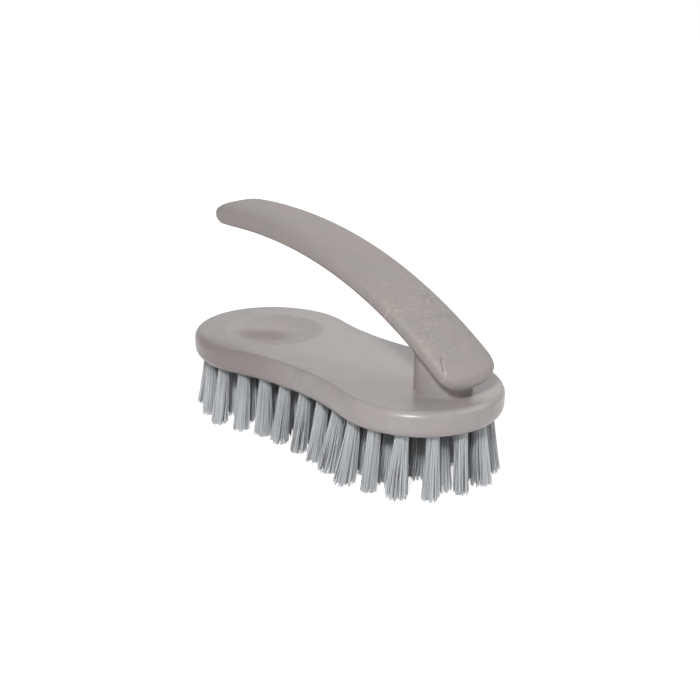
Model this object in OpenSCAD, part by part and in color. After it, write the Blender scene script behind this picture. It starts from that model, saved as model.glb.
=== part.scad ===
/* [Block] */
// Length of the hourglass block
block_len = 150; // [130:1:170]
// Thickness of the block
block_thick = 10.3; // [9:0.1:13]
// Half width of the thumb-end lobe
thumb_lobe_r = 33.2; // [30:0.1:35]
// Length of that lobe from its centre to its nose
thumb_nose = 35.8; // [34:0.1:38]
// Half width of the neck-end lobe
neck_lobe_r = 32.5; // [30:0.1:35]
// Length of that lobe from its centre to its nose
neck_nose = 33.4; // [32:0.1:37]
// Radius of the two hollow sides between the lobes
waist_r = 107; // [90:1:130]
// Rounding of the upper edge
top_edge_r = 3.1; // [1.5:0.1:4]
// Rounding of the lower edge
low_edge_r = 3.6; // [1.5:0.1:3.8]

/* [Thumb dish] */
// Radius of the dish in the top face
dish_r = 20.3; // [14:0.1:22]
// Depth of the dish
dish_depth = 2.7; // [1:0.1:3.5]

/* [Neck] */
// Distance of the neck's centre from the middle of the block
neck_x = 54.6; // [50:0.1:55]
// Half length of the neck
neck_half_len = 10.7; // [9.2:0.1:11]
// Half width of the neck
neck_half_width = 9.9; // [8:0.1:10.5]
// Radius of the fillet round the neck's foot
neck_fillet = 0.8; // [0.5:0.1:3]

/* [Handle] */
// Middle of the handle at its root end: along, up
handle_root = [70.2, 41];
// First point that pulls the arch: along, up
handle_pull_a = [40.3, 65.1];
// Second point that pulls the arch: along, up
handle_pull_b = [-1.3, 86.9];
// Middle of the handle at its free end: along, up
handle_tip = [-68.2, 82.4];
// Half width at the root end
grip_w_root = 14.2; // [12:0.1:16]
// Half width that the middle is drawn in towards
grip_w_mid = 12.8; // [10:0.1:15]
// Half width at the free end
grip_w_tip = 13.8; // [12:0.1:16]
// Half thickness at the root end
grip_h_root = 4.1; // [3.5:0.1:5]
// Half thickness at the free end
grip_h_tip = 5; // [4:0.1:6]
// Length over which the root end rounds off in plan
root_round = 10.4; // [8:0.1:14]
// Length over which the free end rounds off in plan
tip_round = 20.5; // [14:0.1:24]
// Squareness of the grip's section
grip_square = 3.1; // [2:0.1:4]

/* [Tenon and screws] */
// Length of the tenon under the handle
tenon_len = 15; // [14:0.1:16]
// Width of the tenon
tenon_width = 8.4; // [7:0.1:10]
// Height of the tenon's foot above the block's top face
tenon_lift = 1.6; // [1:0.1:3]
// Distance between the two screws
screw_gap = 8; // [7.5:0.1:8.5]
// Radius of a screw's shank
screw_r = 1.5; // [1.2:0.1:1.8]
// Radius of a screw's head
screw_head_r = 2.8; // [2.4:0.1:3]
// Height of a screw's head
screw_head_h = 2.2; // [1.8:0.1:2.6]

/* [Bristles] */
// Free length of the bristles
bristle_len = 25; // [18:1:32]
// Number of tufts in the outer row
outer_count = 31; // [24:1:31]
// Number of tuft places in the middle row
middle_count = 24; // [20:1:24]
// Number of tufts in the centre row
centre_count = 9; // [7:1:9]
// Distance of the outer row from the block's edge
outer_inset = 6.4; // [6.2:0.1:7]
// Distance of the middle row from the block's edge
middle_inset = 15.8; // [15:0.1:17]
// Tufts beside the first screw: along, and off the middle line
neck_tuft_a = [50.5, 6.3]; // [6:0.1:52]
// Tufts beside the last screw: along, and off the middle line
neck_tuft_b = [61, 7.8]; // [7:0.1:62]
// Radius of a tuft's hole
hole_r = 2.4; // [2.2:0.05:2.5]
// Depth of a tuft's hole
hole_depth = 6.5; // [5:0.1:7]
// Number of strands round the middle one of a tuft
strands_round = 6; // [5:1:6]
// Width of a strand
strand_width = 0.92; // [0.7:0.01:1]
// Radius of a tuft at its tips
tip_spread = 2.9; // [2:0.1:3.2]
// How far a tuft leans outward, as a share of its distance from the middle
lean_out = 0.085; // [0:0.005:0.1]
// How much more they lean outward at the waist
waist_splay = 2; // [0:0.1:2.5]
// How far all tufts are swept towards the thumb end
lean_back = 0.5; // [0:0.1:1]
// Height over which the tips end unevenly
tip_ragged = 2.6; // [0:0.1:3]

/* [Anchors] */
// Width of the flat wire that holds a tuft
anchor_width = 5.2; // [5:0.05:5.3]
// Height of that wire
anchor_height = 1.4; // [1.2:0.1:1.6]
// Thickness of that wire
anchor_thick = 0.36; // [0.3:0.02:0.4]

/* [Hidden] */
// Sizes that follow from those above
underside_z = bristle_len;
top_z = bristle_len + block_thick;
thumb_c = -block_len / 2 + thumb_nose;
neck_c = block_len / 2 - neck_nose;

// The hollow side's arc touches both lobes: its centre lies on the lines through their centres
lobe_span = neck_c - thumb_c;
reach_thumb = thumb_lobe_r + waist_r;
reach_neck = neck_lobe_r + waist_r;
waist_along = (pow(reach_thumb, 2) - pow(reach_neck, 2) + pow(lobe_span, 2)) / (2 * lobe_span);
waist_c = [thumb_c + waist_along, sqrt(pow(reach_thumb, 2) - pow(waist_along, 2))];
thumb_turn = atan2(waist_c.y, waist_c.x - thumb_c);
neck_turn = atan2(waist_c.y, waist_c.x - neck_c);

// Steps of the arcs and curves
lobe_steps = 20;
waist_steps = 12;
edge_steps = 5;
grip_rings = 48;
grip_sides = 32;
neck_sides = 40;
round_fn = 64;

// How squarely the handle's two ends round off, and where their thickness fades
root_power = 2.4;
tip_power = 2.9;
root_fade = 0.4 * root_round;
tip_fade = 0.41 * tip_round;
tip_fade_power = 1.4;
neck_power = 2.3;

// Clearances and seats
fit_gap = 0.03;
clear_gap = 0.25;
seat_gap = 0.05;
plug_r = hole_r - seat_gap;
strand_sink = 0.8;
flat_cut = 0.5;
strand_taper = 0.86;
head_seat_z = underside_z + 4.6;
head_bore_gap = 0.2;
tenon_foot_z = top_z + tenon_lift;
tenon_top_cover = 2.4;
screw_x = [neck_x - screw_gap / 2, neck_x + screw_gap / 2];
screw_clear = screw_head_r + hole_r + 0.8;
tuft_clear = 7;
splay_x = 18;
splay_span = 22;
anchor_z = underside_z + hole_depth - 1.2 - anchor_height;
anchor_turn = 35;
dish_ball_r = (pow(dish_r, 2) + pow(dish_depth, 2)) / (2 * dish_depth);

// Colours as photographed
block_colour = [0.66, 0.64, 0.63];
handle_colour = [0.68, 0.64, 0.62];
bristle_colour = [0.68, 0.70, 0.73];
steel_colour = [0.62, 0.63, 0.65];

// ---- Outline of the block -------------------------------------------------

// Point on a lobe at an angle, a distance inside its edge; the nose half is longer than it is wide
function lobe_point(cx, r, nose, outward, inset, a) =
    [cx + (cos(a) * outward > 0 ? nose - inset : r - inset) * cos(a), (r - inset) * sin(a)];

// One side of the hourglass from the thumb nose to the neck nose
function side_points(inset) = concat(
    [for (i = [0 : lobe_steps])
        lobe_point(thumb_c, thumb_lobe_r, thumb_nose, -1, inset,
                   180 + (thumb_turn - 180) * i / lobe_steps)],
    [for (i = [1 : waist_steps - 1])
        let (a = 180 + thumb_turn + (neck_turn - thumb_turn) * i / waist_steps)
        waist_c + (waist_r + inset) * [cos(a), sin(a)]],
    [for (i = [0 : lobe_steps])
        lobe_point(neck_c, neck_lobe_r, neck_nose, 1, inset,
                   neck_turn * (1 - i / lobe_steps))]);

// The whole outline: one side, then the same side mirrored without its two end points
function outline(inset) =
    let (side = side_points(inset), last = len(side) - 1)
    concat(side, [for (i = [last - 1 : -1 : 1]) [side[i].x, -side[i].y]]);

// Running length along a closed list of points
function closed(points) = concat(points, [points[0]]);
function running(points) =
    [for (i = 0, run = 0; i < len(points);
          run = run + (i + 1 < len(points) ? norm(points[i + 1] - points[i]) : 0), i = i + 1) run];

// Places spaced evenly along the outline, starting at the thumb nose
function row_round(inset, count) =
    let (line = closed(outline(inset)), run = running(line), total = run[len(run) - 1])
    [for (k = [0 : count - 1])
        let (s = total * k / count)
        [lookup(s, [for (i = [0 : len(run) - 1]) [run[i], line[i].x]]),
         lookup(s, [for (i = [0 : len(run) - 1]) [run[i], line[i].y]])]];

// Places in a straight row down the middle
function row_straight(count) =
    let (first = thumb_c - 7, last = neck_c - 1)
    [for (k = [0 : count - 1]) [first + (last - first) * k / (count - 1), 0]];

// Those places that lie farther than a gap from every spot
function clear_of(places, spots, gap) =
    [for (p = places) if (min([for (q = spots) norm(p - q)]) > gap) p];

OUTER = row_round(outer_inset, outer_count);
NECK = [for (p = [neck_tuft_a, neck_tuft_b]) for (side = [-1, 1]) [p.x, side * p.y]];
SCREWS = [for (x = screw_x) [x, 0]];
MIDDLE = clear_of(clear_of(row_round(middle_inset, middle_count), SCREWS, screw_clear),
                  NECK, tuft_clear);
CENTRE = clear_of(row_straight(centre_count), SCREWS, screw_clear);
PLACES = concat(OUTER, MIDDLE, NECK, CENTRE);
single_tufts = len(OUTER) + len(MIDDLE);

// Each outer and middle tuft is a piece of its own; those at the neck and in the centre are groups
function tuft_name(k) =
    k < len(OUTER) ? str("outer_tuft_", k + 1) : str("middle_tuft_", k + 1 - len(OUTER));

// ---- General shapes -------------------------------------------------------

// Skin over a list of rings with equal counts of points, closed at both ends
module loft(rings) {
    n = len(rings[0]);
    last = len(rings) - 1;
    sides = [for (i = [0 : last - 1], j = [0 : n - 1], half = [0, 1])
        let (a = i * n + j, b = i * n + (j + 1) % n)
        half == 0 ? [a, b, b + n] : [a, b + n, a + n]];
    foot = [[for (j = [n - 1 : -1 : 0]) j]];
    head = [[for (j = [0 : n - 1]) last * n + j]];
    polyhedron([for (ring = rings, p = ring) p], concat(sides, foot, head));
}

function lift(points, z) = [for (p = points) [p.x, p.y, z]];

function signed_pow(v, p) = sign(v) * pow(abs(v), p);

// Rounded oblong: squarer than an ellipse as the power grows above 2
function oblong(a, b, power, sides, angle_sign) =
    [for (i = [0 : sides - 1])
        let (t = angle_sign * 360 * i / sides)
        [a * signed_pow(cos(t), 2 / power), b * signed_pow(sin(t), 2 / power)]];

// ---- Handle ---------------------------------------------------------------

function arch(t) =
    pow(1 - t, 3) * handle_root + 3 * pow(1 - t, 2) * t * handle_pull_a
    + 3 * (1 - t) * t * t * handle_pull_b + pow(t, 3) * handle_tip;

function arch_heading(t) =
    let (d = pow(1 - t, 2) * (handle_pull_a - handle_root)
             + 2 * (1 - t) * t * (handle_pull_b - handle_pull_a)
             + t * t * (handle_tip - handle_pull_b))
    d / norm(d);

// Share of full size at a distance from an end that rounds off over a length
function round_off(distance, length, power) =
    let (rest = max(0, 1 - distance / length))
    pow(max(0, 1 - pow(rest, power)), 1 / power);

grip_t = [for (i = [0 : grip_rings]) (1 - cos(180 * i / grip_rings)) / 2];
grip_run = running([for (t = grip_t) arch(t)]);
grip_len = grip_run[grip_rings];

function grip_ring(i) =
    let (
        s = grip_run[i],
        u = s / grip_len,
        mid = arch(grip_t[i]),
        heading = arch_heading(grip_t[i]),
        up = [heading.y, -heading.x],
        w = (grip_w_root * pow(1 - u, 2) + 2 * grip_w_mid * u * (1 - u) + grip_w_tip * u * u)
            * round_off(s, root_round, root_power)
            * round_off(grip_len - s, tip_round, tip_power),
        h = (grip_h_root * (1 - u) + grip_h_tip * u)
            * round_off(s, root_fade, 2)
            * round_off(grip_len - s, tip_fade, tip_fade_power))
    [for (p = oblong(w, h, grip_square, grip_sides, 1))
        [mid.x + up.x * p.y, p.x, mid.y + up.y * p.y]];

module grip() {
    loft([for (i = [0 : grip_rings]) grip_ring(i)]);
}

// Upright post with half-round ends, for the tenon and its socket
module post(half_len, half_width, z0, z1) {
    translate([neck_x, 0, z0]) linear_extrude(z1 - z0) {
        square([2 * (half_len - half_width), 2 * half_width], center = true);
        for (side = [-1, 1])
            translate([side * (half_len - half_width), 0])
                circle(half_width, $fn = round_fn);
    }
}

// Height of the arch's middle line above a place along the block
function arch_height(x) = lookup(x, [for (t = grip_t) [arch(t).x, arch(t).y]]);
post_top_z = arch_height(neck_x - neck_half_len) + 2;

module handle() {
    color(handle_colour)
    difference() {
        union() {
            grip();
            // The tenon ends on the arch's middle line, inside the grip
            intersection() {
                post(tenon_len / 2, tenon_width / 2, tenon_foot_z, post_top_z);
                below_arch();
            }
        }
        for (x = screw_x)
            translate([x, 0, tenon_foot_z - 1])
                cylinder(r = screw_r + fit_gap, h = arch_height(x) - tenon_top_cover
                                                    - tenon_foot_z + 1, $fn = round_fn);
    }
}

// Everything below the arch's middle line near the neck
module below_arch() {
    reach = neck_half_len + neck_fillet + 1;
    low = top_z - 5;
    rotate([90, 0, 0])
        linear_extrude(4 * neck_half_width, center = true)
            polygon(concat([[neck_x + reach, low], [neck_x - reach, low]],
                           [for (k = [0 : 6])
                               let (x = neck_x + reach * (k / 3 - 1)) [x, arch_height(x)]]));
}

// ---- Block ----------------------------------------------------------------

module block_skin() {
    low = [for (i = [0 : edge_steps])
        let (a = 90 * i / edge_steps)
        lift(outline(low_edge_r * (1 - sin(a))), underside_z + low_edge_r * (1 - cos(a)))];
    high = [for (i = [0 : edge_steps])
        let (a = 90 * i / edge_steps)
        lift(outline(top_edge_r * (1 - cos(a))), top_z - top_edge_r * (1 - sin(a)))];
    // The skin runs past both flat faces, and a slab cuts it off level
    intersection() {
        loft(concat([lift(outline(low_edge_r), underside_z - 1)], low, high,
                    [lift(outline(top_edge_r), top_z + 1)]));
        translate([0, 0, underside_z + block_thick / 2])
            cube([2 * block_len, block_len, block_thick], center = true);
    }
}

// Neck with a filleted foot, tall enough to reach into the handle
module neck_skin() {
    foot = [for (i = [0 : edge_steps])
        let (a = 90 * i / edge_steps, out = neck_fillet * (1 - sin(a)))
        [out, top_z + neck_fillet * (1 - cos(a))]];
    levels = concat([[neck_fillet, top_z - 2]], foot, [[0, post_top_z]]);
    loft([for (l = levels)
        [for (p = oblong(neck_half_len + l[0], neck_half_width + l[0], neck_power, neck_sides, -1))
            [neck_x + p.x, p.y, l[1]]]]);
}

// Flat wire across a tuft's hole
module anchor(p) {
    translate([p.x, p.y, anchor_z])
        rotate(anchor_turn)
            translate([-anchor_width / 2, -anchor_thick / 2, 0])
                cube([anchor_width, anchor_thick, anchor_height]);
}

module tuft_seat(p) {
    translate([p.x, p.y, underside_z - 1])
        cylinder(r = hole_r, h = hole_depth + 1, $fn = round_fn);
    anchor(p);
}

module block() {
    color(block_colour)
    difference() {
        union() {
            block_skin();
            difference() {
                intersection() {
                    neck_skin();
                    below_arch();
                }
                grip();
            }
        }
        // Thumb dish
        translate([thumb_c, 0, top_z - dish_depth + dish_ball_r])
            sphere(dish_ball_r, $fn = 180);
        // Socket for the tenon
        post(tenon_len / 2 + fit_gap, tenon_width / 2 + fit_gap,
             tenon_foot_z - fit_gap, post_top_z + 1);
        // Screw holes with sunk seats for the heads
        for (x = screw_x) {
            translate([x, 0, underside_z - 1])
                cylinder(r = screw_head_r + head_bore_gap, h = head_seat_z - underside_z + 1,
                         $fn = round_fn);
            translate([x, 0, underside_z - 1])
                cylinder(r = screw_r + clear_gap, h = tenon_foot_z - underside_z + 1,
                         $fn = round_fn);
        }
        for (p = PLACES) tuft_seat(p);
    }
}

// ---- Fasteners ------------------------------------------------------------

module handle_screws() {
    color(steel_colour)
    for (x = screw_x)
        translate([x, 0, head_seat_z]) {
            translate([0, 0, -screw_head_h])
                difference() {
                    cylinder(r = screw_head_r, h = screw_head_h, $fn = round_fn);
                    // Cross recess in the head
                    for (turn = [0, 90])
                        rotate(turn)
                            translate([-1.5, -0.35, -1])
                                cube([3, 0.7, 2.1]);
                }
            cylinder(r = screw_r, h = arch_height(x) - tenon_top_cover - 1 - head_seat_z,
                     $fn = round_fn);
        }
}

module tuft_anchors() {
    color(steel_colour)
    for (p = PLACES) anchor(p);
}

// ---- Tufts ----------------------------------------------------------------

// Where a tuft's tips lie relative to its root: outward from the block's spine, most so at the
// waist, and a little back
function lean(p) =
    let (out = lean_out * (p - [min(max(p.x, thumb_c), neck_c), 0]),
         near_waist = exp(-pow((p.x - splay_x) / splay_span, 2)))
    [out.x - lean_back, out.y * (1 + waist_splay * near_waist)];

// Four-sided strand from inside the plug down to a level tip
module strand(root, tip, turn, tip_z) {
    corners = [for (a = [0 : 90 : 270]) strand_width / sqrt(2) * [cos(turn - a), sin(turn - a)]];
    loft([[for (c = corners) [tip.x + strand_taper * c.x, tip.y + strand_taper * c.y, tip_z]],
          [for (c = corners) [root.x + c.x, root.y + c.y, underside_z + strand_sink]]]);
}

// One folded tuft: its packed root fills the hole and the strands spread below it
module tuft(k) {
    p = PLACES[k];
    turns = rands(0, 360, strands_round + 2, 100 + k);
    shifts = rands(-0.25, 0.25, 2 * strands_round + 2, 300 + k);
    drops = rands(0, tip_ragged, strands_round + 1, 500 + k);
    root_ring = plug_r - 0.78;
    translate([p.x, p.y, 0]) {
        difference() {
            translate([0, 0, underside_z])
                cylinder(r = plug_r, h = hole_depth - seat_gap, $fn = round_fn);
            translate([0, 0, anchor_z - seat_gap])
                rotate(anchor_turn)
                    translate([-anchor_width / 2 - 1, -anchor_thick / 2 - seat_gap, 0])
                        cube([anchor_width + 2, anchor_thick + 2 * seat_gap,
                              anchor_height + 2 * seat_gap]);
        }
        for (i = [0 : strands_round]) {
            a = turns[strands_round + 1] + 360 * i / strands_round;
            ring = i < strands_round ? 1 : 0;
            tip_shift = [shifts[2 * i], shifts[2 * i + 1]];
            // The first strand always reaches the plane on which the brush stands
            tip_z = max(0, (i == 0 ? 0 : drops[i]) - flat_cut);
            strand(ring * root_ring * [cos(a), sin(a)],
                   lean(p) + ring * tip_spread * [cos(a), sin(a)] + tip_shift,
                   turns[i], tip_z);
        }
    }
}

module neck_tufts() {
    color(bristle_colour)
    for (k = [single_tufts : single_tufts + len(NECK) - 1]) tuft(k);
}

module centre_tufts() {
    color(bristle_colour)
    for (k = [single_tufts + len(NECK) : len(PLACES) - 1]) tuft(k);
}

// ---- Assembly -------------------------------------------------------------

block();
handle();
handle_screws();
tuft_anchors();
neck_tufts();
centre_tufts();
for (k = [0 : single_tufts - 1])
    color(bristle_colour) tuft(k);
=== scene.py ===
"""Looks of a palm scrubbing brush: block, bow handle, tufts, fasteners and a plain studio."""

import math

import bmesh
import bpy
import numpy as np
from mathutils import Matrix, Vector


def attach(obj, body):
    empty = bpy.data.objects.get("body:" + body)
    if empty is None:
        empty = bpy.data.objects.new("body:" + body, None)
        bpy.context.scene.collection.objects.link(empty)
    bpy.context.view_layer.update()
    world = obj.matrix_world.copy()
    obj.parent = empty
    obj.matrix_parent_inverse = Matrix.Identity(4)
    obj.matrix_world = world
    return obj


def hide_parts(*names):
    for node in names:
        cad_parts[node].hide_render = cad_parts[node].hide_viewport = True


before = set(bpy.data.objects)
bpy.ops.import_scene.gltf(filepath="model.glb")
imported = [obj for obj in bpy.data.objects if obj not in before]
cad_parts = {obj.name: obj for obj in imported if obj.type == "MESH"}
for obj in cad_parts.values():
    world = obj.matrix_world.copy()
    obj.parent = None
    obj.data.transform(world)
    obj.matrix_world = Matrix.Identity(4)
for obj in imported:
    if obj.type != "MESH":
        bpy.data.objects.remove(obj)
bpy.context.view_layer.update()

bl_info = {
    "name": "Palm brush",
    "version": (1, 0, 0),
    "blender": (4, 5, 0),
    "location": "3D View > Sidebar > Palm brush",
    "description": "Builds the pieces and finishes of a palm scrubbing brush and its studio",
    "category": "Object",
}

MM = 0.001

# Where the CAD source puts the handle's middle line, along and up, in millimetres
ARCH = [(70.2, 41.0), (40.3, 65.1), (-1.3, 86.9), (-68.2, 82.4)]
# Half widths and half thicknesses of the grip, and how its ends and section round off
GRIP_HALF_WIDTHS = (14.2, 12.8, 13.8)
GRIP_HALF_HEIGHTS = (4.1, 5.0)
ROOT_ROUND, ROOT_POWER, ROOT_FADE = 10.4, 2.4, 4.16
TIP_ROUND, TIP_POWER, TIP_FADE, TIP_FADE_POWER = 20.5, 2.9, 8.405, 1.4
GRIP_SQUARE = 3.1
# Steps along the grip's skin and round it
GRIP_RINGS, GRIP_SIDES = 132, 88
# The block's faces and the dish in its top
UNDERSIDE_Z, TOP_Z = 25.0, 35.3
THUMB_X, NECK_X = -39.2, 41.6
DISH_R = 20.3
# The neck: its middle, half sizes and squareness, the fillet round its foot, and the shares of
# the half sizes between which the fillet's vertices lie
POST_X, POST_HALF, POST_POWER, POST_FILLET = 54.6, (10.7, 9.9), 2.3, 0.8
FOOT_SHARES = (0.97, 1.12)
# Vertices this close together in a CAD skin are one, and so are those of the closed-up foot
SKIN_GAP, FOOT_GAP = 2e-6, 3e-5
# Painted shade, a little warmer, on the dish's floor: middle, turn and half sizes
DISH_SHADE_AT, DISH_SHADE_TURN, DISH_SHADE_SIZE = (-40.5, -5.0), 45.0, (16.0, 11.0)
# Painted shade, a little warmer, on the near side below the dish and the waist: middle and half
# sizes
FLANK_SHADE_AT, FLANK_SHADE_SIZE = (-30.0, -33.0), (50.0, 9.0)
# How the tufts lean: outward from the block's spine, and all a little towards the thumb end
LEAN_OUT, LEAN_BACK = 0.085, 0.5
# Where along the block the tufts splay out more, over what length, and how much more
WAIST_X, WAIST_SPAN, WAIST_SPLAY = 18.0, 22.0, 2.0
# Points of one packed root lie closer together than this, and those of two roots farther apart
ROOT_REACH = 5.2
# How far a filament starts inside its hole, and how far the longest end above the floor
SUNK_LENGTH, TIP_GAP = 3.0, 0.02
# How much wider the tips of the inner rows spread than those of the outer row
INNER_SPREAD = 1.3
# How dark the painted shade makes a filament towards its root, in the outer row and in the inner
# rows
OUTER_SHADE, INNER_SHADE = 0.95, 0.36


# ---- Sizes and colours that a user may change ------------------------------


class BrushSizes(bpy.types.PropertyGroup):
    """Sizes of the details that scene.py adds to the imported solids."""

    filament_diameter: bpy.props.FloatProperty(
        name="Filament diameter",
        description="Thickness of one bristle",
        default=0.46 * MM,
        precision=5,
        unit="LENGTH",
    )
    filaments: bpy.props.IntProperty(
        name="Filaments per tuft",
        description="Number of bristles folded into one hole",
        default=96,
        min=8,
        max=100,
    )
    tuft_root: bpy.props.FloatProperty(
        name="Tuft root radius",
        description="Radius of a tuft where it leaves its hole",
        default=2.2 * MM,
        precision=5,
        unit="LENGTH",
    )
    tuft_tip: bpy.props.FloatProperty(
        name="Tuft tip radius",
        description="Radius over which a tuft's tips spread",
        default=3.15 * MM,
        precision=5,
        unit="LENGTH",
    )
    ragged: bpy.props.FloatProperty(
        name="Uneven trim",
        description="Most that a filament ends short of the plane of the tips",
        default=2.1 * MM,
        precision=5,
        unit="LENGTH",
    )
    bow: bpy.props.FloatProperty(
        name="Filament bow",
        description="Most that a filament curves out of a straight line",
        default=0.1 * MM,
        precision=5,
        unit="LENGTH",
    )
    dish_rim: bpy.props.FloatProperty(
        name="Dish rim",
        description="Width over which the thumb dish rolls into the top face",
        default=2.4 * MM,
        precision=5,
        unit="LENGTH",
    )


class BrushColours(bpy.types.PropertyGroup):
    """Base colours of the brush's finishes."""

    block: bpy.props.FloatVectorProperty(
        name="Block plastic",
        description="Base colour of the block and neck",
        subtype="COLOR",
        size=3,
        default=(0.340, 0.314, 0.306),
    )
    handle: bpy.props.FloatVectorProperty(
        name="Handle plastic",
        description="Base colour of the handle",
        subtype="COLOR",
        size=3,
        default=(0.298, 0.264, 0.252),
    )
    straw: bpy.props.FloatVectorProperty(
        name="Straw fleck",
        description="Colour of the pale fibres in the plastic",
        subtype="COLOR",
        size=3,
        default=(0.66, 0.60, 0.56),
    )
    bristle: bpy.props.FloatVectorProperty(
        name="Bristle",
        description="Base colour of the filaments",
        subtype="COLOR",
        size=3,
        default=(0.58, 0.605, 0.632),
    )
    steel: bpy.props.FloatVectorProperty(
        name="Steel",
        description="Base colour of the screws and tuft wires",
        subtype="COLOR",
        size=3,
        default=(0.55, 0.56, 0.58),
    )


def sizes():
    return bpy.context.scene.brush_sizes


def colours():
    return bpy.context.scene.brush_colours


# ---- Node helpers ----------------------------------------------------------


class Graph:
    """Adds nodes to a tree and links them in one call."""

    def __init__(self, tree):
        self.tree = tree

    def add(self, kind, settings=None, **inputs):
        node = self.tree.nodes.new(kind)
        for key, value in (settings or {}).items():
            setattr(node, key, value)
        for key, value in inputs.items():
            self.put(node, key.replace("_", " "), value)
        return node

    def put(self, node, key, value):
        socket = node.inputs[key]
        if isinstance(value, bpy.types.NodeSocket):
            self.tree.links.new(value, socket)
        else:
            socket.default_value = value

    def math(self, operation, *values):
        node = self.tree.nodes.new("ShaderNodeMath")
        node.operation = operation
        for index, value in enumerate(values):
            self.put(node, index, value)
        return node.outputs[0]

    def vector(self, operation, *values, scale=None):
        node = self.tree.nodes.new("ShaderNodeVectorMath")
        node.operation = operation
        for index, value in enumerate(values):
            self.put(node, index, value)
        if scale is not None:
            self.put(node, "Scale", scale)
        return node.outputs[1 if operation == "LENGTH" else 0]

    def ramp(self, value, low, high, to_low=0.0, to_high=1.0):
        node = self.tree.nodes.new("ShaderNodeMapRange")
        node.interpolation_type = "SMOOTHSTEP"
        for key, given in zip(
            ("Value", "From Min", "From Max", "To Min", "To Max"),
            (value, low, high, to_low, to_high),
        ):
            self.put(node, key, given)
        return node.outputs[0]

    def noise(self, vector, scale, detail=3.0, roughness=0.55, distortion=0.0):
        node = self.add(
            "ShaderNodeTexNoise",
            Vector=vector,
            Scale=scale,
            Detail=detail,
            Roughness=roughness,
            Distortion=distortion,
        )
        return node.outputs[0]

    def mix(self, factor, first, second):
        node = self.tree.nodes.new("ShaderNodeMix")
        node.data_type = "RGBA"
        node.inputs[0].default_value = 0.5
        for index, value in ((0, factor), (6, first), (7, second)):
            socket = node.inputs[index]
            if isinstance(value, bpy.types.NodeSocket):
                self.tree.links.new(value, socket)
            elif index == 0:
                socket.default_value = value
            else:
                socket.default_value = (*value, 1.0)
        return node.outputs[2]


def group_socket(tree, name, direction, kind, default=None):
    socket = tree.interface.new_socket(name, in_out=direction, socket_type=kind)
    if default is not None:
        socket.default_value = default


# ---- Shader node groups ----------------------------------------------------


def straw_plastic_group():
    """Mottle, pale straw flecks and fine grain of a straw-filled plastic, in millimetres."""
    tree = bpy.data.node_groups.get("straw_plastic")
    if tree:
        return tree
    tree = bpy.data.node_groups.new("straw_plastic", "ShaderNodeTree")
    group_socket(tree, "Vector", "INPUT", "NodeSocketVector")
    for name, default in (("Fleck size", 1.0), ("Fleck share", 0.5)):
        group_socket(tree, name, "INPUT", "NodeSocketFloat", default)
    for name in ("Mottle", "Blush", "Fleck", "Grain"):
        group_socket(tree, name, "OUTPUT", "NodeSocketFloat")
    graph = Graph(tree)
    given = graph.add("NodeGroupInput").outputs
    out = graph.add("NodeGroupOutput")

    mottle = graph.noise(given["Vector"], 0.16, detail=4.0, roughness=0.6)
    blush = graph.noise(graph.vector("ADD", given["Vector"], (37.0, 11.0, 5.0)), 0.055, 2.0)
    fine = graph.noise(given["Vector"], 2.2, detail=3.0, roughness=0.65)
    # Flecks: the cores of stretched cells, kept where a slower noise allows them
    cells = graph.add(
        "ShaderNodeTexVoronoi",
        {"feature": "F1"},
        Vector=given["Vector"],
        Scale=graph.math("DIVIDE", 0.8, given["Fleck size"]),
        Randomness=1.0,
    )
    core = graph.ramp(cells.outputs["Distance"], 0.06, 0.2, 1.0, 0.0)
    allowed = graph.ramp(
        graph.noise(given["Vector"], 0.35, 2.0),
        graph.math("SUBTRACT", 1.0, given["Fleck share"]),
        graph.math("SUBTRACT", 1.12, given["Fleck share"]),
    )
    graph.put(out, "Mottle", mottle)
    graph.put(out, "Blush", blush)
    graph.put(out, "Fleck", graph.math("MULTIPLY", core, allowed))
    graph.put(out, "Grain", fine)
    return tree


def new_material(name):
    """A material with an emptied tree, its graph, and its Principled shader."""
    material = bpy.data.materials.new(name)
    material.use_nodes = True
    tree = material.node_tree
    tree.nodes.clear()
    graph = Graph(tree)
    shader = graph.add("ShaderNodeBsdfPrincipled")
    out = graph.add("ShaderNodeOutputMaterial")
    tree.links.new(shader.outputs[0], out.inputs["Surface"])
    return material, graph, shader


def millimetres(graph, vector, stretch=(1.0, 1.0, 1.0)):
    """Coordinates in millimetres, for patterns that are sized in millimetres."""
    node = graph.add("ShaderNodeMapping", {"vector_type": "POINT"}, Vector=vector)
    node.inputs["Scale"].default_value = [1000.0 * s for s in stretch]
    return node.outputs[0]


def placed_group(graph, tree, **inputs):
    node = graph.tree.nodes.new("ShaderNodeGroup")
    node.node_tree = tree
    for key, value in inputs.items():
        graph.put(node, key.replace("_", " "), value)
    return node.outputs


def oval(graph, vector, at, turn, size, full, faded):
    """1 inside a placed oval, falling to 0 between two shares of its half sizes."""
    node = graph.add("ShaderNodeMapping", {"vector_type": "TEXTURE"}, Vector=vector)
    node.inputs["Location"].default_value = (*at, 0.0)
    node.inputs["Rotation"].default_value = (0.0, 0.0, math.radians(turn))
    node.inputs["Scale"].default_value = (*size, 1e6)
    return graph.ramp(graph.vector("LENGTH", node.outputs[0]), full, faded, 1.0, 0.0)


def scaled(colour, factor):
    return tuple(min(1.0, c * factor) for c in colour)


def tinted(colour, factors):
    return tuple(c * factor for c, factor in zip(colour, factors))


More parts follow.
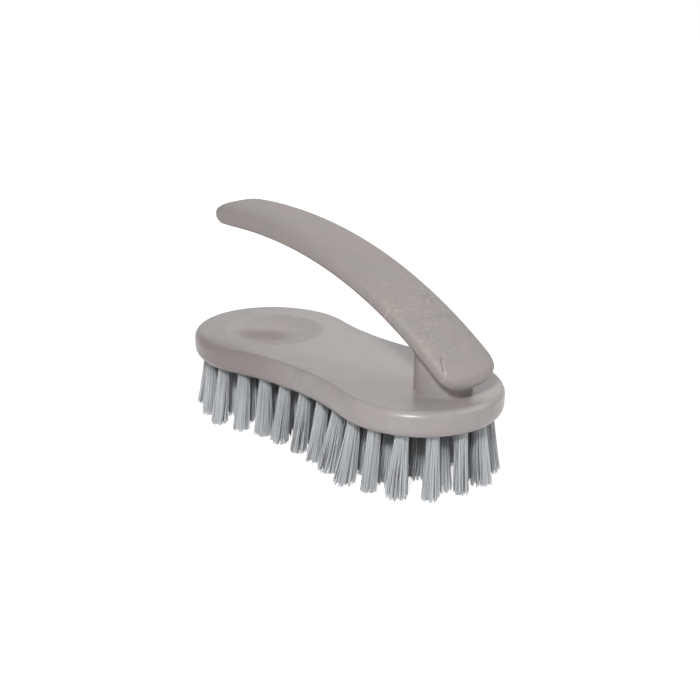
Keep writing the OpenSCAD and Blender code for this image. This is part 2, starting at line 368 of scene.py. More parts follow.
def block_material():
    """Smooth matt plastic with faint mottle and specks, and painted shade, a little warmer, in the
    dish and on one flank.
    """
    material, graph, shader = new_material("block_plastic")
    base = tuple(colours().block)
    point = millimetres(graph, graph.add("ShaderNodeTexCoord").outputs["Object"])
    straw = placed_group(
        graph, straw_plastic_group(), Vector=point, Fleck_size=1.2, Fleck_share=0.42
    )
    tone = graph.ramp(straw["Mottle"], 0.3, 0.7)
    colour = graph.mix(tone, scaled(base, 0.93), scaled(base, 1.05))
    blush = graph.ramp(straw["Blush"], 0.42, 0.66, 0.0, 0.8)
    colour = graph.mix(blush, colour, tinted(base, (1.03, 0.965, 0.95)))
    # Painted shade, a little warmer, on the dish's floor; the same patch is also made rougher
    dish_shade_and_rough = oval(graph, point, DISH_SHADE_AT, DISH_SHADE_TURN, DISH_SHADE_SIZE, 0.3, 1.1)
    dish = graph.math("MULTIPLY", dish_shade_and_rough, 0.9)
    colour = graph.mix(dish, colour, tinted(base, (0.78, 0.69, 0.68)))
    fleck = graph.math("MULTIPLY", straw["Fleck"], 0.22)
    colour = graph.mix(fleck, colour, tuple(colours().straw))
    # Painted shade, a little warmer, on the near side below the dish and the waist
    flank = oval(graph, point, FLANK_SHADE_AT, 0.0, FLANK_SHADE_SIZE, 0.4, 1.1)
    colour = graph.mix(flank, colour, tinted(base, (0.76, 0.7, 0.7)))
    graph.put(shader, "Base Color", colour)
    gloss = graph.ramp(straw["Grain"], 0.2, 0.8, 0.3, 0.38)
    graph.put(shader, "Roughness", graph.math("ADD", gloss, graph.math("MULTIPLY", dish_shade_and_rough, 0.2)))
    bump = graph.add(
        "ShaderNodeBump", Strength=0.06, Distance=0.00012, Height=straw["Grain"]
    )
    graph.put(shader, "Normal", bump.outputs[0])
    return material


def handle_material():
    """Straw-filled plastic: blotches, pale fibres, and flow wrinkles towards the root end, with
    painted shade in a crease and a painted highlight on a lip beside it.
    """
    material, graph, shader = new_material("handle_plastic")
    base = tuple(colours().handle)
    uv = graph.add("ShaderNodeUVMap", {"uv_map": "grip"}).outputs[0]
    point = millimetres(graph, graph.add("ShaderNodeTexCoord").outputs["Object"])
    run = graph.add("ShaderNodeSeparateXYZ", Vector=millimetres(graph, uv)).outputs[0]
    side = graph.add("ShaderNodeSeparateXYZ", Vector=point).outputs[1]
    plan = graph.add("ShaderNodeCombineXYZ", X=run, Y=side).outputs[0]
    near_root = graph.ramp(run, 12.0, 95.0, 1.0, 0.1)
    # Fibres crowd at the near corner of the root
    corner = oval(graph, plan, (6.0, -12.5), 0.0, (7.0, 4.0), 0.4, 1.0)
    share = graph.ramp(run, 20.0, 60.0, 0.62, 0.54)
    share = graph.math("ADD", graph.math("MULTIPLY", corner, 0.25), share)
    straw = placed_group(
        graph, straw_plastic_group(), Vector=point, Fleck_size=0.95, Fleck_share=share
    )
    # Wrinkles: ridges that run across the flow
    across = graph.vector("MULTIPLY", plan, (1.0, 0.4, 1.0))
    swell = graph.noise(across, 0.46, 3.0, 0.55, 0.5)
    ridge = graph.ramp(
        graph.math("ABSOLUTE", graph.math("SUBTRACT", swell, 0.5)), 0.0, 0.06, 1.0, 0.0
    )
    fading = graph.ramp(run, 36.0, 62.0, 1.0, 0.0)
    band = graph.math("MULTIPLY", graph.ramp(run, 11.0, 17.0), fading)
    patches = graph.ramp(graph.noise(plan, 0.11, 1.0), 0.36, 0.52)
    patches = graph.math("MULTIPLY", patches, graph.ramp(graph.noise(plan, 0.4, 1.0), 0.42, 0.58))
    wrinkle = graph.math("MULTIPLY", graph.math("MULTIPLY", ridge, patches), band)
    # Drawn-out dark smears that start at the far edge
    drawn = graph.vector("MULTIPLY", plan, (1.0, 0.16, 1.0))
    smear = graph.math("MULTIPLY", graph.ramp(graph.noise(drawn, 0.3, 2.0), 0.54, 0.64), band)
    smear = graph.math("MULTIPLY", smear, graph.ramp(side, -1.0, 5.0))
    # A moulding crease by the near corner, with a raised lip beside it: both in the bump, with
    # painted shade in the crease and a painted highlight on the lip
    crease = oval(graph, plan, (11.0, -11.6), 29.0, (3.6, 0.55), 0.5, 1.1)
    lip = oval(graph, plan, (8.6, -12.2), 22.0, (4.4, 0.5), 0.4, 1.1)

    pink = tinted(base, (1.03, 0.975, 0.975))
    green = tinted(base, (0.955, 0.99, 0.965))
    blotch = graph.noise(graph.vector("ADD", plan, (61.0, 7.0, 3.0)), 0.085, 2.0)
    colour = graph.mix(graph.ramp(blotch, 0.38, 0.62), green, pink)
    colour = graph.mix(graph.ramp(side, 4.0, 12.0, 0.0, 0.7), colour, scaled(green, 0.96))
    tone = graph.ramp(straw["Mottle"], 0.3, 0.7, 0.0, 0.5)
    colour = graph.mix(tone, colour, scaled(base, 1.08))
    colour = graph.mix(graph.math("MULTIPLY", smear, 0.6), colour, scaled(green, 0.78))
    # Painted shade in the crease
    colour = graph.mix(graph.math("MULTIPLY", crease, 0.55), colour, scaled(green, 0.62))
    fleck = graph.math("MULTIPLY", straw["Fleck"], graph.math("MULTIPLY", near_root, 0.6))
    pale = graph.math("MAXIMUM", fleck, graph.math("MULTIPLY", wrinkle, 0.38))
    # Painted highlight on the lip
    pale = graph.math("MAXIMUM", pale, graph.math("MULTIPLY", lip, 0.3))
    colour = graph.mix(pale, colour, tuple(colours().straw))
    graph.put(shader, "Base Color", colour)
    graph.put(shader, "Roughness", graph.ramp(straw["Grain"], 0.2, 0.8, 0.44, 0.6))
    relief = graph.math("ADD", wrinkle, graph.math("MULTIPLY", straw["Grain"], 0.35))
    relief = graph.math("ADD", relief, graph.math("SUBTRACT", lip, crease))
    bump = graph.add("ShaderNodeBump", Strength=0.8, Distance=0.00028, Height=relief)
    graph.put(shader, "Normal", bump.outputs[0])
    return material


def bristle_material(name, root_shade):
    """Drawn filament, each of its own tone; painted light makes it paler at its tip and at the
    thumb end of the brush, painted shade darker towards its root.
    """
    material, graph, shader = new_material(name)
    base = tuple(colours().bristle)
    tone = graph.add("ShaderNodeAttribute", {"attribute_name": "tone"}).outputs["Fac"]
    place = graph.add(
        "ShaderNodeSeparateXYZ", Vector=graph.add("ShaderNodeTexCoord").outputs["Object"]
    ).outputs
    colour = graph.mix(graph.ramp(tone, 0.0, 1.0), scaled(base, 0.92), scaled(base, 1.04))
    # Painted light: paler towards the tips, which stand clear of the shade near the block
    tip = graph.ramp(place[2], 0.0, 0.006, 0.35, 0.0)
    colour = graph.mix(tip, colour, scaled(base, 1.15))
    # Painted light: paler tufts at the thumb end of the brush, where more light reaches them
    thumb_end_light = graph.math(
        "MULTIPLY",
        graph.ramp(place[0], -0.04, -0.01, 1.0, 0.0),
        graph.ramp(place[0], -0.072, -0.058, 0.3, 1.0),
    )
    colour = graph.mix(thumb_end_light, colour, scaled(base, 1.42))
    # Painted shade: darker towards the roots, where the block and the other tufts shade them
    root = graph.ramp(place[2], 0.009, 0.023)
    colour = graph.mix(root, colour, scaled(base, root_shade))
    graph.put(shader, "Base Color", colour)
    graph.put(shader, "Roughness", graph.ramp(tone, 0.0, 1.0, 0.36, 0.5))
    # Light passes through the thin filaments
    shader.inputs["Subsurface Weight"].default_value = 1.0
    shader.inputs["Subsurface Radius"].default_value = (1.0, 1.0, 1.0)
    shader.inputs["Subsurface Scale"].default_value = 1.2 * MM
    return material


def steel_material():
    """Plain steel with fine drawing marks."""
    material, graph, shader = new_material("wire")
    base = tuple(colours().steel)
    point = millimetres(
        graph, graph.add("ShaderNodeTexCoord").outputs["Object"], (1.0, 1.0, 0.2)
    )
    marks = graph.noise(point, 3.0, 4.0, 0.6)
    graph.put(shader, "Base Color", graph.mix(marks, scaled(base, 0.8), scaled(base, 1.1)))
    graph.put(shader, "Roughness", graph.ramp(marks, 0.2, 0.8, 0.25, 0.45))
    shader.inputs["Metallic"].default_value = 1.0
    return material


# ---- Mesh helpers ----------------------------------------------------------


def merged_copy(node):
    """A CAD node's triangles as one closed skin."""
    bm = bmesh.new()
    bm.from_mesh(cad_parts[node].data)
    bmesh.ops.remove_doubles(bm, verts=bm.verts, dist=SKIN_GAP)
    bmesh.ops.dissolve_limit(
        bm, angle_limit=math.radians(0.3), verts=bm.verts, edges=bm.edges
    )
    return bm


def new_piece(name, mesh, material, replaced):
    """Links a mesh as a piece of the object, on the body root, in place of its CAD nodes."""
    mesh.materials.clear()
    mesh.materials.append(material)
    piece = bpy.data.objects.new(name, mesh)
    bpy.context.scene.collection.objects.link(piece)
    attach(piece, "root")
    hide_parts(*replaced)


def shade_by_angle(bm, angle):
    for face in bm.faces:
        face.smooth = True
    for edge in bm.edges:
        edge.smooth = len(edge.link_faces) == 2 and edge.calc_face_angle(0.0) < angle


def held(name, mesh, kind):
    """A passing object that holds a mesh and one modifier."""
    holder = bpy.data.objects.new(name, mesh)
    bpy.context.scene.collection.objects.link(holder)
    return holder, holder.modifiers.new(kind.lower(), kind)


def finished_mesh(name, holder):
    """The holder's mesh after its modifier, as plain data, without the holder."""
    depsgraph = bpy.context.evaluated_depsgraph_get()
    done = bpy.data.meshes.new_from_object(
        holder.evaluated_get(depsgraph), preserve_all_data_layers=True, depsgraph=depsgraph
    )
    bpy.data.objects.remove(holder)
    done.name = name
    return done


# ---- Handle ----------------------------------------------------------------


def arch_point(t):
    a, b, c, d = (np.array(p) for p in ARCH)
    return (1 - t) ** 3 * a + 3 * (1 - t) ** 2 * t * b + 3 * (1 - t) * t**2 * c + t**3 * d


def arch_heading(t):
    a, b, c, d = (np.array(p) for p in ARCH)
    slope = (1 - t) ** 2 * (b - a) + 2 * (1 - t) * t * (c - b) + t**2 * (d - c)
    return slope / np.linalg.norm(slope)


def round_off(distance, length, power):
    rest = max(0.0, 1 - distance / length)
    return max(0.0, 1 - rest**power) ** (1 / power)


def section(half_width, half_height, count):
    """Even steps round a rounded oblong, starting below its middle."""
    turn = np.linspace(-np.pi / 2, 1.5 * np.pi, 2001)
    across = half_width * np.sign(np.cos(turn)) * np.abs(np.cos(turn)) ** (2 / GRIP_SQUARE)
    up = half_height * np.sign(np.sin(turn)) * np.abs(np.sin(turn)) ** (2 / GRIP_SQUARE)
    run = np.concatenate([[0], np.cumsum(np.hypot(np.diff(across), np.diff(up)))])
    at = np.linspace(0, run[-1], count, endpoint=False)
    return np.interp(at, run, across), np.interp(at, run, up), at


def grip_mesh():
    """The grip as one closed skin, with a UV map in metres along the arch and round the grip."""
    count = GRIP_SIDES
    ts = (1 - np.cos(np.linspace(0, np.pi, GRIP_RINGS + 1))) / 2
    middle = np.array([arch_point(t) for t in ts])
    run = np.concatenate([[0], np.cumsum(np.linalg.norm(np.diff(middle, axis=0), axis=1))])
    total = run[-1]
    bm = bmesh.new()
    layers = []
    for i, t in enumerate(ts[1:-1], start=1):
        s, u = run[i], run[i] / total
        w0, w1, w2 = GRIP_HALF_WIDTHS
        width = w0 * (1 - u) ** 2 + 2 * w1 * u * (1 - u) + w2 * u**2
        width *= round_off(s, ROOT_ROUND, ROOT_POWER) * round_off(total - s, TIP_ROUND, TIP_POWER)
        height = GRIP_HALF_HEIGHTS[0] * (1 - u) + GRIP_HALF_HEIGHTS[1] * u
        height *= round_off(s, ROOT_FADE, 2) * round_off(total - s, TIP_FADE, TIP_FADE_POWER)
        across, up, at = section(width, height, count)
        heading = arch_heading(t)
        ring = []
        for y, lift, v in zip(across, up, at - at[-1] / 2):
            x = middle[i][0] + heading[1] * lift
            z = middle[i][1] - heading[0] * lift
            ring.append((bm.verts.new((x * MM, y * MM, z * MM)), s * MM, v * MM))
        layers.append(ring)
    uv = bm.loops.layers.uv.new("grip")

    def face(corners):
        made = bm.faces.new([c[0] for c in corners])
        for loop, corner in zip(made.loops, corners):
            loop[uv].uv = corner[1:]

    for low, high in zip(layers, layers[1:]):
        for j in range(count):
            k = (j + 1) % count
            face((low[j], low[k], high[k], high[j]))
    for ring, end in ((layers[0], 0), (layers[-1], -1)):
        pole = (
            bm.verts.new((middle[end][0] * MM, 0.0, middle[end][1] * MM)),
            run[end] * MM,
            0.0,
        )
        for j in range(count):
            k = (j + 1) % count
            corners = (pole, ring[k], ring[j]) if end == 0 else (pole, ring[j], ring[k])
            face(corners)
    bmesh.ops.recalc_face_normals(bm, faces=bm.faces)
    for f in bm.faces:
        f.smooth = True
    mesh = bpy.data.meshes.new("handle_grip")
    bm.to_mesh(mesh)
    bm.free()
    return mesh


class OBJECT_OT_brush_handle(bpy.types.Operator):
    """Build the bow handle with its straw-filled finish."""

    bl_idname = "object.brush_handle"
    bl_label = "Handle"

    def execute(self, context):
        new_piece("handle_grip", grip_mesh(), handle_material(), ["handle"])
        return {"FINISHED"}


# ---- Block -----------------------------------------------------------------


def close_up_foot(bm):
    """Moves the fillet at the neck's foot onto the line where wall and top face meet."""
    for vert in bm.verts:
        x, y = (vert.co.x / MM - POST_X) / POST_HALF[0], vert.co.y / MM / POST_HALF[1]
        out = (abs(x) ** POST_POWER + abs(y) ** POST_POWER) ** (1 / POST_POWER)
        low = -0.01 < vert.co.z / MM - TOP_Z < POST_FILLET - 0.01
        if low and FOOT_SHARES[0] < out < FOOT_SHARES[1]:
            vert.co.x += x * POST_HALF[0] * MM * (1 / out - 1)
            vert.co.y /= out
            vert.co.z = TOP_Z * MM
    bmesh.ops.remove_doubles(bm, verts=bm.verts, dist=FOOT_GAP)


def block_mesh():
    """The block's skin with a crisp neck foot and a rolled rim round its thumb dish."""
    bm = merged_copy("block")
    close_up_foot(bm)
    rim = []
    for edge in bm.edges:
        on_rim = all(
            abs(v.co.z - TOP_Z * MM) < 1e-5
            and abs(math.hypot(v.co.x - THUMB_X * MM, v.co.y) - DISH_R * MM) < 5e-5
            for v in edge.verts
        )
        if on_rim and edge.calc_face_angle(0.0) > math.radians(5):
            rim.append(edge)
    if not rim:
        raise RuntimeError("the block has no dish rim to round")
    bmesh.ops.bevel(
        bm,
        geom=rim,
        offset=sizes().dish_rim / 2,
        offset_type="OFFSET",
        segments=5,
        profile=0.5,
        affect="EDGES",
        clamp_overlap=False,
    )
    shade_by_angle(bm, math.radians(30))
    mesh = bpy.data.meshes.new("block_raw")
    bm.to_mesh(mesh)
    bm.free()
    holder, modifier = held("block_holder", mesh, "WEIGHTED_NORMAL")
    modifier.keep_sharp, modifier.weight = True, 100
    return finished_mesh("block_body", holder)


class OBJECT_OT_brush_block(bpy.types.Operator):
    """Build the hourglass block with its neck, thumb dish and tuft holes."""

    bl_idname = "object.brush_block"
    bl_label = "Block"

    def execute(self, context):
        new_piece("block_body", block_mesh(), block_material(), ["block"])
        return {"FINISHED"}


# ---- Bristles --------------------------------------------------------------


def bristle_tree():
    """Geometry Nodes: every point of the input becomes one tuft of curved filaments."""
    tree = bpy.data.node_groups.new("tuft_filaments", "GeometryNodeTree")
    group_socket(tree, "Geometry", "INPUT", "NodeSocketGeometry")
    for name, kind in (
        ("Filaments", "NodeSocketInt"),
        ("Root radius", "NodeSocketFloat"),
        ("Tip radius", "NodeSocketFloat"),
        ("Filament radius", "NodeSocketFloat"),
        ("Free length", "NodeSocketFloat"),
        ("Sunk length", "NodeSocketFloat"),
        ("Ragged", "NodeSocketFloat"),
        ("Bow", "NodeSocketFloat"),
        ("Seed", "NodeSocketInt"),
        ("Material", "NodeSocketMaterial"),
    ):
        group_socket(tree, name, "INPUT", kind)
    group_socket(tree, "Geometry", "OUTPUT", "NodeSocketGeometry")
    graph = Graph(tree)
    links = tree.links
    given = graph.add("NodeGroupInput").outputs

    def drawn(kind, low, high, seed):
        node = graph.add("FunctionNodeRandomValue", {"data_type": kind})
        low_at, high_at, out_at = {"FLOAT": (2, 3, 1), "FLOAT_VECTOR": (0, 1, 0)}[kind]
        graph.put(node, low_at, low)
        graph.put(node, high_at, high)
        graph.put(node, "Seed", graph.math("ADD", given["Seed"], float(seed)))
        return node.outputs[out_at]

    def stored(geometry, name, kind, value):
        node = graph.add("GeometryNodeStoreNamedAttribute", {"data_type": kind})
        links.new(geometry, node.inputs["Geometry"])
        node.inputs["Name"].default_value = name
        links.new(value, node.inputs["Value"])
        return node.outputs["Geometry"]

    def named(name, kind):
        node = graph.add("GeometryNodeInputNamedAttribute", {"data_type": kind})
        node.inputs["Name"].default_value = name
        return node.outputs["Attribute"]

    def weighed(name, amount):
        return graph.vector("SCALE", named(name, "FLOAT_VECTOR"), scale=amount)

    # One turn, spread and sway per tuft, then the tuft's filaments in even spiral places
    points = stored(given["Geometry"], "turn", "FLOAT", drawn("FLOAT", 0.0, 6.2832, 1))
    points = stored(points, "spread", "FLOAT", drawn("FLOAT", 0.85, 1.3, 6))
    sway = drawn("FLOAT_VECTOR", (-0.0008, -0.0008, 0.0), (0.0008, 0.0008, 0.0), 7)
    points = stored(points, "sway", "FLOAT_VECTOR", sway)
    copies = graph.add("GeometryNodeDuplicateElements", {"domain": "POINT"})
    links.new(points, copies.inputs["Geometry"])
    links.new(given["Filaments"], copies.inputs["Amount"])
    order = copies.outputs["Duplicate Index"]
    share = graph.math(
        "SQRT",
        graph.math("DIVIDE", graph.math("ADD", order, 0.5), given["Filaments"]),
    )
    angle = graph.math(
        "ADD", graph.math("MULTIPLY", order, 2.39996), named("turn", "FLOAT")
    )
    spoke = graph.add(
        "ShaderNodeCombineXYZ",
        X=graph.math("MULTIPLY", graph.math("COSINE", angle), share),
        Y=graph.math("MULTIPLY", graph.math("SINE", angle), share),
    ).outputs[0]
    scatter = drawn("FLOAT_VECTOR", (-0.15, -0.15, 0.0), (0.15, 0.15, 0.0), 2)
    root_at = graph.vector("SCALE", spoke, scale=given["Root radius"])
    tip_reach = graph.math("MULTIPLY", given["Tip radius"], named("spread", "FLOAT"))
    tip_at = graph.vector(
        "ADD",
        graph.vector("SCALE", graph.vector("ADD", spoke, scatter), scale=tip_reach),
        graph.vector("ADD", named("lean", "FLOAT_VECTOR"), named("sway", "FLOAT_VECTOR")),
    )
    bend = graph.vector(
        "SCALE",
        drawn("FLOAT_VECTOR", (-1.0, -1.0, 0.0), (1.0, 1.0, 0.0), 3),
        scale=given["Bow"],
    )
    short = graph.math(
        "MULTIPLY", graph.math("POWER", drawn("FLOAT", 0.0, 1.0, 4), 1.6), given["Ragged"]
    )
    points = stored(copies.outputs["Geometry"], "root_at", "FLOAT_VECTOR", root_at)
    points = stored(points, "tip_at", "FLOAT_VECTOR", tip_at)
    points = stored(points, "bend", "FLOAT_VECTOR", bend)
    points = stored(points, "short", "FLOAT", short)
    points = stored(points, "tone", "FLOAT", drawn("FLOAT", 0.0, 1.0, 5))

    # One filament of unit length: a thin closed tube, with its shape kept as an attribute
    line = graph.add("GeometryNodeCurvePrimitiveLine", {"mode": "POINTS"})
    line.inputs["End"].default_value = (0.0, 0.0, -1.0)
    steps = graph.add("GeometryNodeResampleCurve")
    links.new(line.outputs[0], steps.inputs["Curve"])
    steps.inputs["Count"].default_value = 6
    ring = graph.add("GeometryNodeCurvePrimitiveCircle", {"mode": "RADIUS"})
    ring.inputs["Resolution"].default_value = 5
    links.new(given["Filament radius"], ring.inputs["Radius"])
    tube = graph.add("GeometryNodeCurveToMesh")
    links.new(steps.outputs[0], tube.inputs["Curve"])
    links.new(ring.outputs[0], tube.inputs["Profile Curve"])
    tube.inputs["Fill Caps"].default_value = True
    here = graph.add("GeometryNodeInputPosition").outputs[0]
    filament = stored(tube.outputs[0], "shape", "FLOAT_VECTOR", here)

    planted = graph.add("GeometryNodeInstanceOnPoints")
    links.new(points, planted.inputs["Points"])
    links.new(filament, planted.inputs["Instance"])
    real = graph.add("GeometryNodeRealizeInstances")
    links.new(planted.outputs[0], real.inputs["Geometry"])

    # Each vertex goes to its place along the filament's own curve
    shape = named("shape", "FLOAT_VECTOR")
    height = graph.add("ShaderNodeSeparateXYZ", Vector=shape).outputs[2]
    down = graph.math("MULTIPLY", height, -1.0)
    length = graph.math(
        "SUBTRACT",
        graph.math("ADD", given["Free length"], given["Sunk length"]),
        named("short", "FLOAT"),
    )
    spread = graph.math("POWER", down, 1.25)
    arc = graph.math("MULTIPLY", down, graph.math("SUBTRACT", 1.0, down))
    arc = graph.math("MULTIPLY", arc, 4.0)
    root_share = graph.math("SUBTRACT", 1.0, spread)
    sideways = graph.vector("ADD", weighed("root_at", root_share), weighed("tip_at", spread))
    sideways = graph.vector("ADD", sideways, weighed("bend", arc))
    drop = graph.add(
        "ShaderNodeCombineXYZ",
        Z=graph.math(
            "ADD",
            graph.math("SUBTRACT", given["Sunk length"], graph.math("MULTIPLY", length, down)),
            down,
        ),
    ).outputs[0]
    move = graph.add("GeometryNodeSetPosition")
    links.new(real.outputs[0], move.inputs["Geometry"])
    links.new(graph.vector("ADD", sideways, drop), move.inputs["Offset"])

    geometry = move.outputs[0]
    for name in ("turn", "spread", "sway", "root_at", "tip_at", "bend", "short", "lean", "shape"):
        gone = graph.add("GeometryNodeRemoveAttribute")
        gone.inputs["Name"].default_value = name
        links.new(geometry, gone.inputs["Geometry"])
        geometry = gone.outputs[0]
    smooth = graph.add("GeometryNodeSetShadeSmooth")
    links.new(geometry, smooth.inputs["Geometry"])
    paint = graph.add("GeometryNodeSetMaterial")
    links.new(smooth.outputs[0], paint.inputs["Geometry"])
    links.new(given["Material"], paint.inputs["Material"])
    out = graph.add("NodeGroupOutput")
    links.new(paint.outputs[0], out.inputs[0])
    return tree


def tuft_places(node):
    """Middle of each tuft's packed root in a CAD node, in metres."""
    co = np.zeros(len(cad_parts[node].data.vertices) * 3)
    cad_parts[node].data.vertices.foreach_get("co", co)
    co = co.reshape(-1, 3)
    top = co[co[:, 2] > co[:, 2].max() - 1e-5][:, :2]
    places = []
    while len(top):
        mine = np.linalg.norm(top - top[0], axis=1) < ROOT_REACH * MM
        places.append((top[mine].min(0) + top[mine].max(0)) / 2)
        top = top[~mine]
    return places


def tuft_lean(place):
    spine = np.array([min(max(place[0], THUMB_X * MM), NECK_X * MM), 0.0])
    x, y = LEAN_OUT * (place - spine)
    y *= 1 + WAIST_SPLAY * math.exp(-(((place[0] / MM - WAIST_X) / WAIST_SPAN) ** 2))
    return (x - LEAN_BACK * MM, y, 0.0)


def bristle_row(name, nodes, tree, material, seed, wider):
    """One row of tufts as one piece, its tips spread wider by a factor."""
    places = [p for node in nodes for p in tuft_places(node)]
    mesh = bpy.data.meshes.new(name + "_roots")
    mesh.from_pydata([(x, y, UNDERSIDE_Z * MM) for x, y in places], [], [])
    lean = mesh.attributes.new("lean", "FLOAT_VECTOR", "POINT")
    lean.data.foreach_set("vector", [c for p in places for c in tuft_lean(p)])
    holder, modifier = held(name + "_roots", mesh, "NODES")
    modifier.node_group = tree
    values = {
        "Filaments": sizes().filaments,
        "Root radius": sizes().tuft_root,
        "Tip radius": sizes().tuft_tip * wider,
        "Filament radius": sizes().filament_diameter / 2,
        "Free length": (UNDERSIDE_Z - TIP_GAP) * MM,
        "Sunk length": SUNK_LENGTH * MM,
        "Ragged": sizes().ragged,
        "Bow": sizes().bow,
        "Seed": seed,
        "Material": material,
    }
    for item in tree.interface.items_tree:
        if item.in_out == "INPUT" and item.name in values:
            modifier[item.identifier] = values[item.name]
    holder.update_tag()
    bpy.context.view_layer.update()
    done = finished_mesh(name, holder)
    if not done.polygons:
        raise RuntimeError(f"{name} has no filaments")
    new_piece(name, done, material, nodes)


class OBJECT_OT_brush_bristles(bpy.types.Operator):
    """Plant the outer, middle and inner rows of tufts."""

    bl_idname = "object.brush_bristles"
    bl_label = "Bristles"

    def execute(self, context):
        names = sorted(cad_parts)
        rows = {
            "outer_row": [n for n in names if n.startswith("outer_tuft_")],
            "middle_row": [n for n in names if n.startswith("middle_tuft_")],
            "inner_row": [n for n in names if n.endswith("_tufts")],
        }
        tree = bristle_tree()
        # The inner rows get a copy of the material with deeper painted shade at the roots
        outer = (bristle_material("bristle", OUTER_SHADE), 1.0)
        inner = (bristle_material("bristle_inner_shaded", INNER_SHADE), INNER_SPREAD)
        for seed, (name, nodes) in enumerate(rows.items(), start=3):
            material, wider = outer if name == "outer_row" else inner
            bristle_row(name, nodes, tree, material, seed * 10, wider)
        return {"FINISHED"}


# ---- Fasteners -------------------------------------------------------------


class OBJECT_OT_brush_fasteners(bpy.types.Operator):
    """Give the handle's screws and the tufts' anchor wires their steel finish."""

    bl_idname = "object.brush_fasteners"
    bl_label = "Screws and wires"

    def execute(self, context):
        steel = steel_material()
        for node in ("handle_screws", "tuft_anchors"):
            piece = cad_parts[node]
            piece.data.materials.clear()
            piece.data.materials.append(steel)
        return {"FINISHED"}


# ---- Studio ----------------------------------------------------------------

# Camera fitted to the photograph: place in millimetres, angles in degrees
CAMERA_AT = (272.23, -263.40, 170.30)
AZIMUTH, ELEVATION, ROLL = 45.28, 19.53, 0.61
FOCAL_PX, IMAGE_PX = 1002.79, 700
SENSOR = 36.0
# Lamps: name, direction from the object, distance and side in metres, strength
LAMPS = (
    ("front", (0.461, -0.652, 0.602), 0.5, 0.07, 1.82),
    ("right", (0.554, 0.560, 0.616), 1.2, 0.6, 3.4),
    ("behind", (-0.329, 0.693, 0.643), 1.2, 1.2, 2.5),
)
WORLD_LEVEL = 0.17
# Height up to which the surroundings darken towards the horizon in reflections, and the
# level that they have there
HORIZON_TOP, HORIZON_LEVEL = 0.25, 0.5
# The floor's own glow near the object, and the distances over which it grows to full white
FLOOR_GLOW, FLOOR_NEAR, FLOOR_FAR = 0.78, 0.09, 0.3
# Half the floor's side, in metres
FLOOR_REACH = 4.0
# The point that the lamps face
TARGET = Vector((3.7, 2.55, 36.27)) * MM


def add_lamp(name, direction, distance, side, energy):
    lamp = bpy.data.lights.new(name, "AREA")
    lamp.shape = "SQUARE"
    lamp.size = side
    lamp.energy = energy
    holder = bpy.data.objects.new(name, lamp)
    towards = Vector(direction).normalized()
    holder.location = TARGET + towards * distance
    holder.rotation_mode = "QUATERNION"
    holder.rotation_quaternion = towards.to_track_quat("Z", "Y")
    holder.visible_camera = False
    bpy.context.scene.collection.objects.link(holder)


def add_camera():
    azimuth, elevation, roll = (math.radians(a) for a in (AZIMUTH, ELEVATION, ROLL))
    back = Vector(
        (
            math.sin(azimuth) * math.cos(elevation),
            -math.cos(azimuth) * math.cos(elevation),
            math.sin(elevation),
        )
    )
    right = Vector((math.cos(azimuth), math.sin(azimuth), 0.0))
    up = back.cross(right)
    right, up = (
        right * math.cos(roll) + up * math.sin(roll),
        up * math.cos(roll) - right * math.sin(roll),
    )
    camera = bpy.data.cameras.new("camera")
    camera.sensor_width = SENSOR
    camera.lens = FOCAL_PX * SENSOR / IMAGE_PX
    camera.clip_start, camera.clip_end = 0.01, 20.0
    holder = bpy.data.objects.new("camera", camera)
    turn = Matrix((right, up, back)).transposed()
    holder.matrix_world = Matrix.Translation(Vector(CAMERA_AT) * MM) @ turn.to_4x4()
    bpy.context.scene.collection.objects.link(holder)
    bpy.context.scene.camera = holder


def add_world():
    world = bpy.data.worlds.new("studio")
    world.use_nodes = True
    world.node_tree.nodes.clear()
    graph = Graph(world.node_tree)
    path = graph.add("ShaderNodeLightPath").outputs
    way = graph.add("ShaderNodeTexCoord").outputs["Object"]
    height = graph.add("ShaderNodeSeparateXYZ", Vector=way).outputs[2]
    mirrored = graph.math(
        "MULTIPLY",
        path["Is Glossy Ray"],
        graph.ramp(height, 0.0, HORIZON_TOP, HORIZON_LEVEL, 1.0),
    )
    seen = graph.math(
        "MAXIMUM",
        path["Is Camera Ray"],
        graph.math("MAXIMUM", mirrored, path["Is Transmission Ray"]),
    )
    strength = graph.math("ADD", graph.math("MULTIPLY", seen, 1.0 - WORLD_LEVEL), WORLD_LEVEL)
    background = graph.add("ShaderNodeBackground", Color=(1.0, 1.0, 1.0, 1.0), Strength=strength)
    out = graph.add("ShaderNodeOutputWorld")
    world.node_tree.links.new(background.outputs[0], out.inputs[0])
    bpy.context.scene.world = world


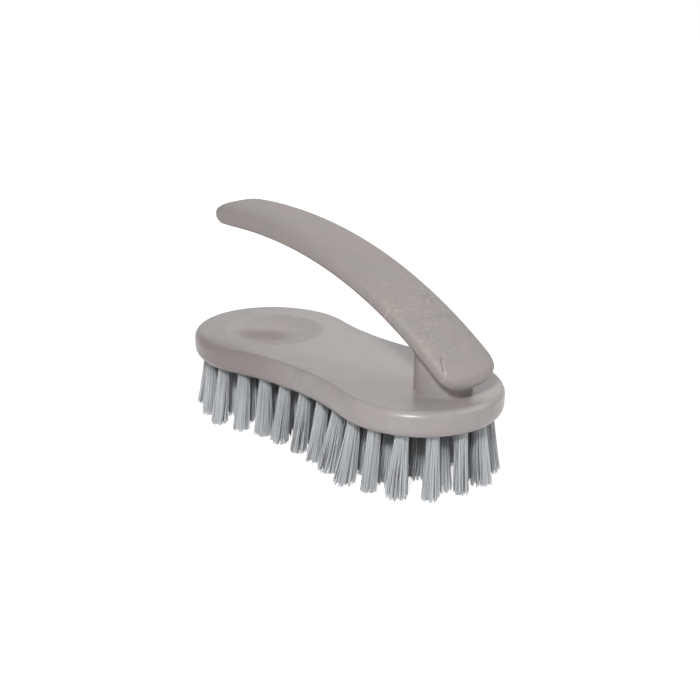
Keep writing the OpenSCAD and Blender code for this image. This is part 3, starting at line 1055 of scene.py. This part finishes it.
def add_floor():
    """A pale floor that the camera sees as white and that keeps the object's shadow."""
    mesh = bpy.data.meshes.new("floor")
    corners = ((-1, -1), (1, -1), (1, 1), (-1, 1))
    mesh.from_pydata([(x * FLOOR_REACH, y * FLOOR_REACH, 0) for x, y in corners], [], [range(4)])
    material = bpy.data.materials.new("floor")
    material.use_nodes = True
    tree = material.node_tree
    tree.nodes.clear()
    graph = Graph(tree)
    path = graph.add("ShaderNodeLightPath").outputs
    matt = graph.add("ShaderNodeBsdfDiffuse", Color=(0.8, 0.8, 0.8, 1.0))
    seen = graph.math(
        "MAXIMUM",
        path["Is Camera Ray"],
        graph.math("MAXIMUM", path["Is Glossy Ray"], path["Is Transmission Ray"]),
    )
    away = graph.vector("LENGTH", graph.add("ShaderNodeTexCoord").outputs["Object"])
    level = graph.ramp(away, FLOOR_NEAR, FLOOR_FAR, FLOOR_GLOW, 1.0)
    glow = graph.add(
        "ShaderNodeEmission",
        Color=(1.0, 1.0, 1.0, 1.0),
        Strength=graph.math("MULTIPLY", seen, level),
    )
    both = graph.add("ShaderNodeAddShader")
    tree.links.new(matt.outputs[0], both.inputs[0])
    tree.links.new(glow.outputs[0], both.inputs[1])
    out = graph.add("ShaderNodeOutputMaterial")
    tree.links.new(both.outputs[0], out.inputs["Surface"])
    mesh.materials.append(material)
    floor = bpy.data.objects.new("floor", mesh)
    bpy.context.scene.collection.objects.link(floor)


class OBJECT_OT_brush_studio(bpy.types.Operator):
    """Set up the floor, world, lamps and camera."""

    bl_idname = "object.brush_studio"
    bl_label = "Studio"

    def execute(self, context):
        context.scene.view_settings.view_transform = "Standard"
        add_floor()
        add_world()
        for lamp in LAMPS:
            add_lamp(*lamp)
        add_camera()
        return {"FINISHED"}


# ---- Panel and registration ------------------------------------------------

OPERATORS = (
    OBJECT_OT_brush_block,
    OBJECT_OT_brush_handle,
    OBJECT_OT_brush_bristles,
    OBJECT_OT_brush_fasteners,
    OBJECT_OT_brush_studio,
)


class VIEW3D_PT_palm_brush(bpy.types.Panel):
    """Sizes, colours and build steps of the palm brush."""

    bl_idname = "VIEW3D_PT_palm_brush"
    bl_label = "Palm brush"
    bl_space_type = "VIEW_3D"
    bl_region_type = "UI"
    bl_category = "Palm brush"

    def draw(self, context):
        column = self.layout.column()
        for group in (context.scene.brush_sizes, context.scene.brush_colours):
            for name in group.bl_rna.properties.keys():
                if name not in ("rna_type", "name"):
                    column.prop(group, name)
        for operator in OPERATORS:
            column.operator(operator.bl_idname)


CLASSES = (BrushSizes, BrushColours, *OPERATORS, VIEW3D_PT_palm_brush)


def register():
    for cls in CLASSES:
        bpy.utils.register_class(cls)
    bpy.types.Scene.brush_sizes = bpy.props.PointerProperty(type=BrushSizes)
    bpy.types.Scene.brush_colours = bpy.props.PointerProperty(type=BrushColours)


def unregister():
    del bpy.types.Scene.brush_colours
    del bpy.types.Scene.brush_sizes
    for cls in reversed(CLASSES):
        bpy.utils.unregister_class(cls)


def main():
    register()
    bpy.ops.object.brush_block()
    bpy.ops.object.brush_handle()
    bpy.ops.object.brush_bristles()
    bpy.ops.object.brush_fasteners()
    bpy.ops.object.brush_studio()


if __name__ == "__main__":
    main()
